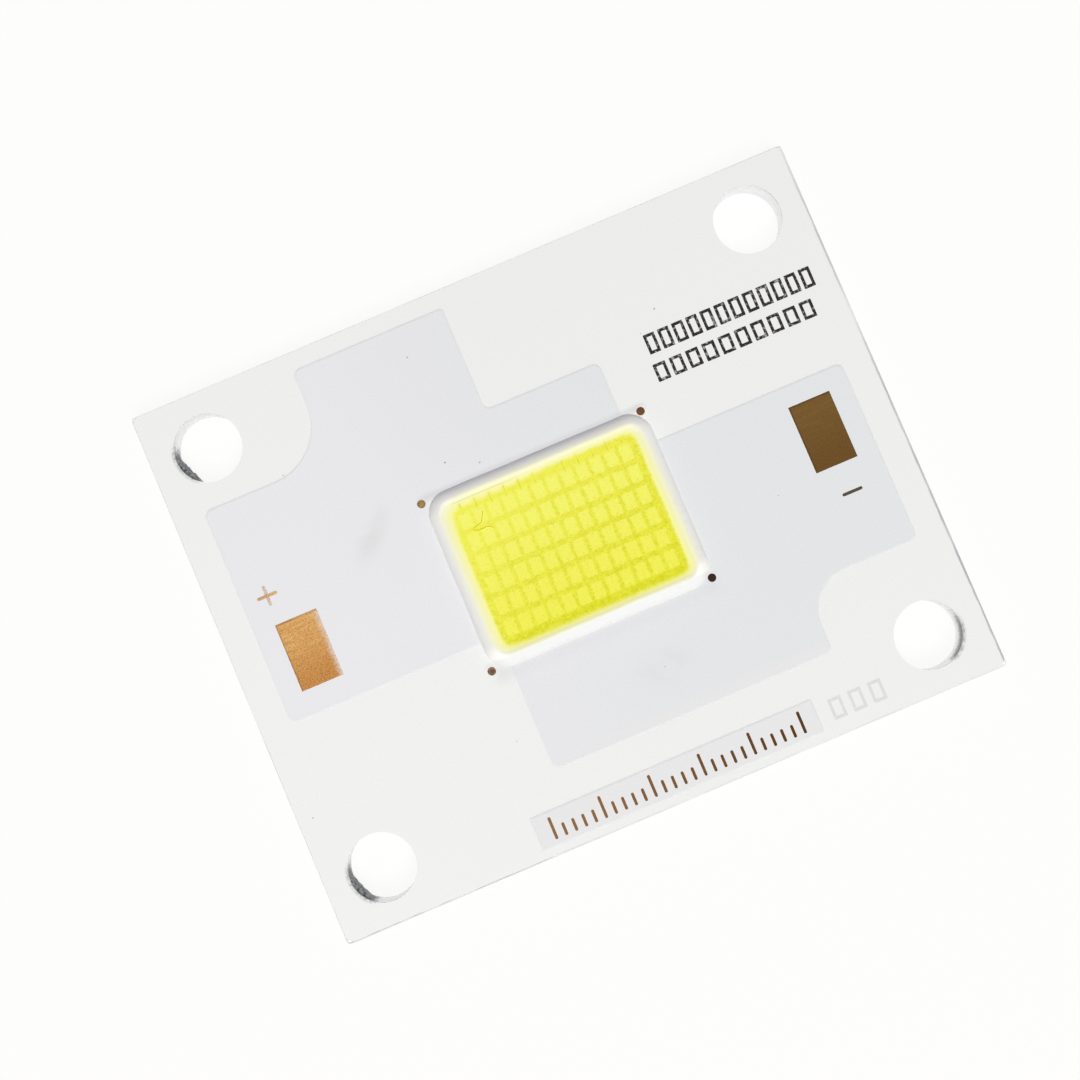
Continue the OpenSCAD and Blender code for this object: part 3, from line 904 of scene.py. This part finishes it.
def build_mask():
    """The mask as one thin coat that slopes up over the copper and is open at pads and marks."""
    label_half = (label_high - label_low)[:2] / 2 - LABEL_INSET
    label = rounded_box(label_half, LABEL_CORNER_R, label_middle, corner_steps=3)
    tracks = [*track_loops, label]
    copper = tracks + dot_loops
    edge, *openings = upward_loops("solder_mask")
    half = np.ptp(edge, axis=0) / 2 + MASK_OVERHANG
    middle = edge.min(axis=0) + half - MASK_OVERHANG
    edge = rounded_box(half, BOARD_CORNER_R, middle, corner_steps=6)
    rings = [grown(loop, by) for loop in copper for by in SLOPE_RINGS]
    flat, triangles = filled([edge, *openings, *scale_strokes()], rings)
    count = len(flat)

    gap = nearest_gap(flat, copper)
    height = mask_height(gap)
    t = np.clip(gap / SLOPE_W, 0, 1)
    slope = MASK_STEP * 6 * t * (1 - t) / SLOPE_W
    shifts = ((SLOPE_PROBE, 0.0), (0.0, SLOPE_PROBE))
    away = np.stack([nearest_gap(flat + shift, copper) - gap for shift in shifts], 1) / SLOPE_PROBE
    top_normals = np.column_stack([away * slope[:, None], np.ones(count)])
    top_normals /= np.linalg.norm(top_normals, axis=1)[:, None]

    foot = dielectric_top + (height - mask_low) / MASK_STEP * (copper_top - dielectric_top)
    points = np.vstack([at_height(flat, height), at_height(flat, foot)])
    faces = triangles + [[count + i for i in reversed(t)] for t in triangles]
    faces += [[b, a, count + a, count + b] for a, b in lone_edges(triangles)]
    piece = add_piece("solder_mask_coat", points, faces, mask_material(),
                      ["solder_mask"])
    track_gap = nearest_gap(flat, tracks)
    over = 1 - down_slope(track_gap)
    # Painted shade line at the step, stronger on slopes that face up and right, away from the lamp
    line = np.exp(-((track_gap - STEP_SHADE_PLACE) / STEP_SHADE_W) ** 2)
    line *= STEP_SHADE_LEVEL + away @ STEP_SHADE_LEAN
    add_attribute(piece, "over_copper", np.tile(over, 2))
    add_attribute(piece, "step_shade", np.tile(line, 2))

    mesh = piece.data
    normals = []
    for face in mesh.polygons:
        is_top = face.index < len(triangles)
        normals += [top_normals[i] if is_top else face.normal for i in face.vertices]
    mesh.normals_split_custom_set(normals)


def bead_loop(inset, z):
    """The dam's outer edge moved inwards, wandering a little as a dispensed bead does."""
    radius = max(DAM_CORNER_R - inset, DAM_LEAST_R)
    loop = rounded_box(dam_half - inset, radius, emitter_middle, DAM_CORNER_STEPS, DAM_SIDE_STEPS)
    from_middle = loop - emitter_middle
    outward = from_middle / np.linalg.norm(from_middle, axis=1)[:, None]
    wave = [noise.noise(Vector((*p, BEAD_WAVE_LAYER)) * BEAD_WAVES_PER_MM) for p in from_middle]
    push = np.array(wave) - BEAD_WAVE_MIDDLE
    return at_height(loop + outward * BEAD_WAVE * push[:, None], z)


def build_dam():
    """The white bead, as loops across its section from the outer foot over the crest."""
    loops = []
    for k in range(BEAD_STEPS + 1):
        angle = k / BEAD_STEPS * math.pi
        if angle < math.pi / 2:
            reach, height, bend = OUTER_REACH, OUTER_H, 2 / OUTER_POWER
        else:
            reach, height, bend = -INNER_REACH, INNER_H, 1.0
        inset = OUTER_REACH - reach * abs(math.cos(angle)) ** bend
        z = dam_high[2] - height * (1 - math.sin(angle) ** bend)
        loops.append(bead_loop(inset, z))
    points = np.vstack(loops)
    piece = add_piece("silicone_dam", points, loft(loops, closed=True), dam_material(),
                      ["dam"])
    add_attribute(piece, "film", distance_to(points[:, :2], cavity_loop))


def build_phosphor():
    """The yellow fill, with a rim that climbs the dam and meets it without a step."""
    past_crest = (FILM_INSET - OUTER_REACH) / INNER_REACH
    rise = math.sqrt(1 - past_crest ** 2)
    rim = dam_high[2] - INNER_H * (1 - rise)
    climb = rim - fill_level
    fade = climb * rise / past_crest * INNER_REACH / INNER_H
    loops = [bead_loop(FILM_INSET + FILL_FOOT_INSET, mask_low + mask_t),
             bead_loop(FILM_INSET + FILL_WALL_INSET, fill_level - FILL_WALL_DEPTH)]
    for inset in [FILM_INSET + RIM_STEP * k for k in range(RIM_STEPS)] + list(INNER_INSETS):
        loops.append(bead_loop(inset, fill_level + climb * math.exp((FILM_INSET - inset) / fade)))
    points = np.vstack(loops)
    piece = add_piece("phosphor_surface", points, loft(loops, capped=True), phosphor_material(),
                      ["phosphor_fill"])
    add_attribute(piece, "film", distance_to(points[:, :2], cavity_loop))


def print_boxes(name, rows, material):
    """Rows of empty boxes printed on the mask."""
    points, faces = [], []
    top = mask_low + INK_T
    for first_x, middle_y, count, pitch, width, height in rows:
        half = np.array([width, height]) / 2
        for k in range(count):
            middle = (first_x + width / 2 + k * pitch, middle_y)
            outer = rounded_box(half, BOX_CORNER_R, middle, corner_steps=5)
            inner = rounded_box(half - STROKE_W, BOX_CORNER_R, middle, corner_steps=5)
            loops = [at_height(outer, mask_low), at_height(outer, top),
                     at_height(inner, top), at_height(inner, mask_low)]
            faces += loft(loops, len(points), closed=True)
            points += [p for loop in loops for p in loop]
    add_piece(name, points, faces, material, smooth=False)


def build_print():
    """Boxes for ticking off a batch, black above the cathode pad and grey beside the label."""
    black = ink_material("black_ink", (40, 38, 36), (176, 174, 170), 0.02)
    print_boxes("black_boxes", INK_ROWS, black)
    grey = ink_material("grey_ink", (222, 222, 221), (232, 232, 231), 0.0)
    print_boxes("grey_boxes", [GREY_ROW], grey)


def build_specks():
    """Small flakes of dust on the mask."""
    points, faces = [], []
    for x, y, size in SPECKS:
        ground = mask_height(nearest_gap(np.array([[x, y]]), track_loops))[0]
        outline = []
        for k in range(SPECK_CORNERS):
            angle = 2 * math.pi * k / SPECK_CORNERS
            uneven = 1 + SPECK_ROUGH * noise.noise(Vector((x + k, y - k, size)))
            reach = size / 2 * uneven
            side = SPECK_NARROW * reach * math.sin(angle)
            outline.append((x + reach * math.cos(angle), y + side))
        loops = [at_height(np.array(outline), ground + z) for z in SPECK_Z]
        faces += loft(loops, len(points), capped=True)
        points += [p for loop in loops for p in loop]
    dust = speckled_material("dust", (150, 150, 152), (186, 187, 190), 8.0, 0.004)
    add_piece("dust_specks", points, faces, dust, smooth=False)


def build_shade_lump():
    """A dark lump on the walls of the two left holes, as painted shade of the walls, rough and cut
    off along a chord.
    """
    points, faces = [], []
    low, high = SHADE_LUMP_HEIGHTS
    left_holes = sorted((m for m in hole_middles if m[0] < 0), key=lambda m: m[1])
    for middle, depth in zip(left_holes, SHADE_LUMP_DEPTHS):
        chord = hole_r - depth
        half_turn = math.acos(chord / hole_r)
        sections = []
        for k in range(SHADE_LUMP_STEPS + 1):
            off = half_turn * (2 * k / SHADE_LUMP_STEPS - 1)
            angle = math.radians(SHADE_LUMP_TURN_DEG) + off
            outward = np.array([math.cos(angle), math.sin(angle)])
            most = hole_r - chord / math.cos(off)
            section = []
            for j in range(SHADE_LUMP_RINGS + 1):
                share = j / SHADE_LUMP_RINGS
                z = low + share * (high - low)
                lump = noise.noise(Vector((*(outward * hole_r), z)) * SHADE_LUMP_BUMPS_PER_MM)
                thick = most * (1 + SHADE_LUMP_ROUGH * lump) * math.sqrt(math.sin(math.pi * share))
                section.append((*(middle + outward * (hole_r - thick)), z))
            for z in (high, low):
                section.append((*(middle + outward * (hole_r + SHADE_LUMP_SUNK)), z))
            sections.append(section)
        faces += loft(sections, len(points), capped=True)
        points += [p for section in sections for p in section]
    wall_shade = speckled_material("wall_shade", (70, 73, 78), (172, 173, 175), 5.0, 0.03)
    add_piece("shade_lump", points, faces, wall_shade)


def build_fibre():
    """A thin fibre caught in the phosphor's surface."""
    curve = bpy.data.curves.new("fibre_path", "CURVE")
    curve.dimensions = "3D"
    curve.bevel_depth = FIBRE_R * MM
    curve.bevel_resolution = 3
    curve.use_fill_caps = True
    curve.resolution_u = 8
    spline = curve.splines.new("NURBS")
    spline.points.add(len(FIBRE_BENDS) - 1)
    spline.use_endpoint_u = True
    spline.order_u = 3
    z = fill_level + FIBRE_RISE
    for point, bend in zip(spline.points, FIBRE_BENDS):
        point.co = (*[c * MM for c in (*bend, z)], 1.0)
    path = add_object("fibre_path", curve)
    bpy.context.view_layer.update()
    shaped = path.evaluated_get(bpy.context.evaluated_depsgraph_get())
    mesh = bpy.data.meshes.new_from_object(shaped)
    bpy.data.objects.remove(path)
    yellow = speckled_material("fibre", (212, 207, 40), (226, 222, 56), 6.0, 0.003)
    mesh.materials.clear()
    mesh.materials.append(yellow)
    piece = add_object("fibre", mesh)
    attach(piece, BODY)


def dress(names, material):
    """Gives solids from the frame their finish."""
    for name in names:
        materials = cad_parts[name].data.materials
        materials.clear()
        materials.append(material)


def dress_solids():
    """The finish of the solids that keep their shape, seen or hidden under the phosphor."""
    dielectric = speckled_material("dielectric", (254, 254, 252), (244, 244, 240), 6.0, 0.005)
    adhesive = speckled_material("die_adhesive", (226, 226, 220), (208, 208, 200), 9.0, 0.002)
    die = speckled_material("die", (168, 190, 214), (146, 172, 204), 5.0, 0.001, Metallic=0.3)
    wire = speckled_material("bond_wire", (232, 196, 110), (214, 176, 90), 12.0, 0.001, Metallic=1)
    dress(["base_plate"], aluminium_material())
    dress(["dielectric_layer"], dielectric)
    dress(["anode_copper"], copper_material("anode_copper", anode_finish, 0.4))
    dress(["cathode_copper"], copper_material("cathode_copper", cathode_finish, 0.02))
    dress(["label_copper"], copper_material("label_copper", label_finish, 0.05))
    dress(["fiducial_copper"], copper_material("dot_copper", dot_finish, 0.1))
    dress(["die_attach"], adhesive)
    dress(die_strings, die)
    dress(wire_strings, wire)


# Stage

def shown_directly(tree):
    """1 for what the camera, a mirror or a pane shows, and 0 for light on the object."""
    path = add_node(tree, "LightPath").outputs
    total = path["Is Camera Ray"]
    for name in ("Is Glossy Ray", "Is Transmission Ray"):
        total = add_node(tree, "Math", total, path[name], operation="MAXIMUM").outputs[0]
    return total


def build_world():
    """White where it is seen, and a soft light that is stronger from the lower edge's side."""
    world = bpy.data.worlds.new("white_studio")
    world.use_nodes = True
    bpy.context.scene.world = world
    tree = world.node_tree
    place = add_node(tree, "TexCoord").outputs["Generated"]
    y = add_node(tree, "SeparateXYZ", place).outputs[1]
    ends = [WORLD_LEVEL * (1 + lean) for lean in (WORLD_LEAN, -WORLD_LEAN)]
    light = add_node(tree, "MapRange", y, -1.0, 1.0, *ends).outputs[0]
    level = add_node(tree, "MapRange", shown_directly(tree), 0.0, 1.0, light, 1.0).outputs[0]
    background = tree.nodes["Background"].inputs
    feed(tree, background["Color"], (1.0, 1.0, 1.0, 1.0))
    feed(tree, background["Strength"], level)


def floor_material():
    """Paper that is shown white, apart from a share of the shadow near the board."""
    material = bpy.data.materials.new("white_floor")
    material.use_nodes = True
    tree = material.node_tree
    tree.nodes.clear()
    paper = add_node(tree, "BsdfDiffuse", (FLOOR_GREY, FLOOR_GREY, FLOOR_GREY, 1.0)).outputs[0]
    white = add_node(tree, "Emission", srgb(255, 255, 254)).outputs[0]
    place = add_node(tree, "TexCoord").outputs["Object"]
    away = add_node(tree, "VectorMath", place, operation="LENGTH").outputs["Value"]
    fade = [end * MM for end in SHADOW_FADE]
    unshaded = add_node(tree, "MapRange", away, *fade, 1 - SHADOW_SHARE, 1.0,
                        interpolation_type="SMOOTHSTEP").outputs[0]
    share = add_node(tree, "Math", shown_directly(tree), unshaded, operation="MULTIPLY").outputs[0]
    blend = add_node(tree, "MixShader", share, paper, white).outputs[0]
    add_node(tree, "OutputMaterial", blend)
    return material


def build_floor():
    reach = FLOOR_HALF * MM
    corners = [(x * reach, y * reach, 0) for x, y in ((-1, -1), (1, -1), (1, 1), (-1, 1))]
    mesh = bpy.data.meshes.new("floor")
    mesh.from_pydata(corners, [], [(0, 1, 2, 3)])
    mesh.materials.append(floor_material())
    floor = add_object("floor", mesh)


def aimed(place, aim, roll_deg=0.0):
    """A transform that looks from a place at a point, with +Y upwards before the roll."""
    place, aim = Vector(place) * MM, Vector(aim) * MM
    back = (place - aim).normalized()
    right = Vector((0, 1, 0)).cross(back).normalized()
    turned = Matrix((right, back.cross(right), back)).transposed()
    turned = turned @ Matrix.Rotation(math.radians(roll_deg), 3, "Z")
    return Matrix.Translation(place) @ turned.to_4x4()


def build_key():
    data = bpy.data.lights.new("key", "AREA")
    data.size = KEY_SIZE * MM
    data.energy = KEY_WATTS
    key = add_object("key", data)
    key.matrix_world = aimed(KEY_PLACE, (0.0, 0.0, mask_low))
    key.visible_glossy = False


def build_camera():
    data = bpy.data.cameras.new("camera")
    data.sensor_width = SENSOR_MM
    data.lens = SENSOR_MM * FOCAL_PIXELS / FRAME_PIXELS
    data.clip_start = CLIP_START * MM
    camera = add_object("camera", data)
    camera.matrix_world = aimed(CAMERA_PLACE, CAMERA_AIM, CAMERA_ROLL_DEG)
    bpy.context.scene.camera = camera


build_mask()
build_dam()
build_phosphor()
build_print()
build_specks()
build_shade_lump()
build_fibre()
dress_solids()
build_world()
build_floor()
build_key()
build_camera()
bpy.context.scene.view_settings.view_transform = "Standard"
